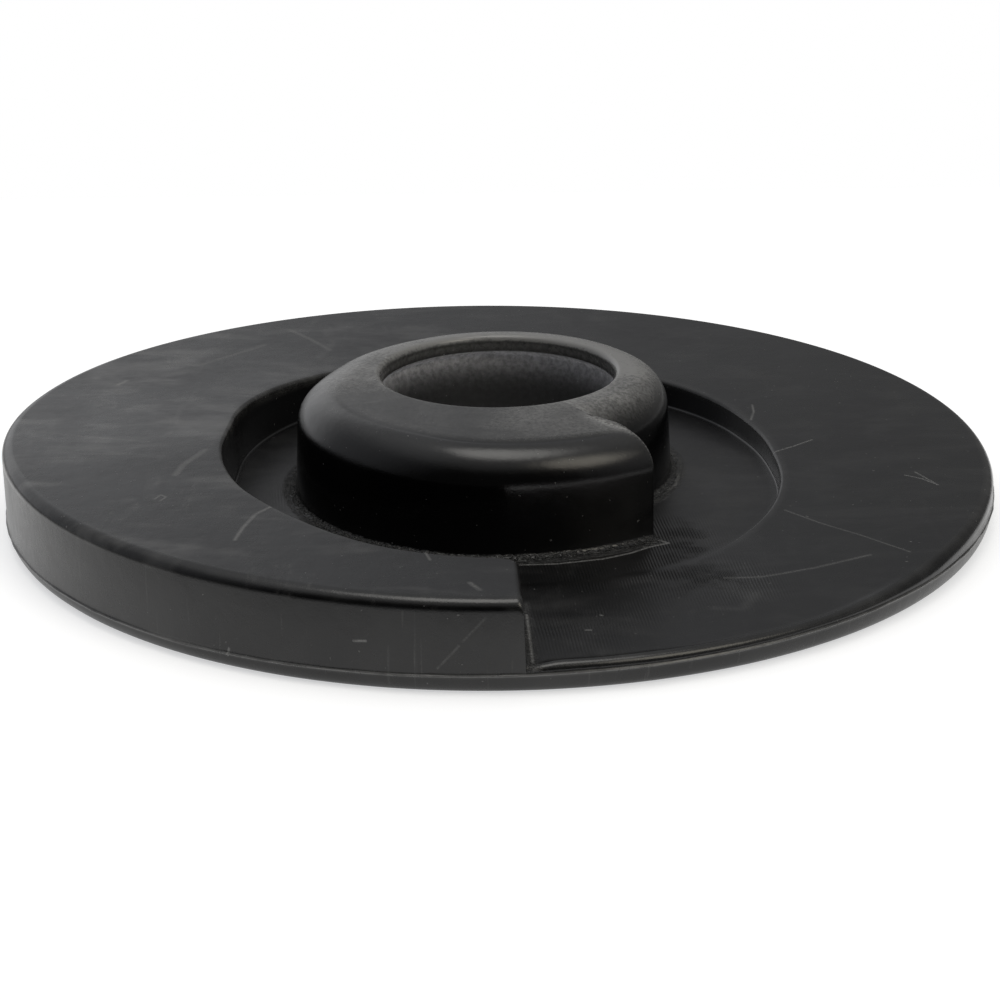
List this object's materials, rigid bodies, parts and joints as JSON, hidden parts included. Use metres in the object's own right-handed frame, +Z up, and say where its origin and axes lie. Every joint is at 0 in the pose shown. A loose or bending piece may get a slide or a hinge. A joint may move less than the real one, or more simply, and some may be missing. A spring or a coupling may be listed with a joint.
{
  "type": "coil spring insulator",
  "caption": "Round black rubber coil spring insulator with a helical ramp, a spiral spring recess and a hollow centre hub.",
  "frame": {"origin": "on the bore's axis, in the plane of the flat underside", "axes": "+Z up along the bore, from the underside to the hub's top; the ramp's step faces the front, -Y"},
  "size_m": [0.165, 0.1649, 0.0217],
  "materials": {
    "rubber": "satin"
  },
  "bodies": {
    "root": {"insulator": "rubber"}
  },
  "joints": []
}
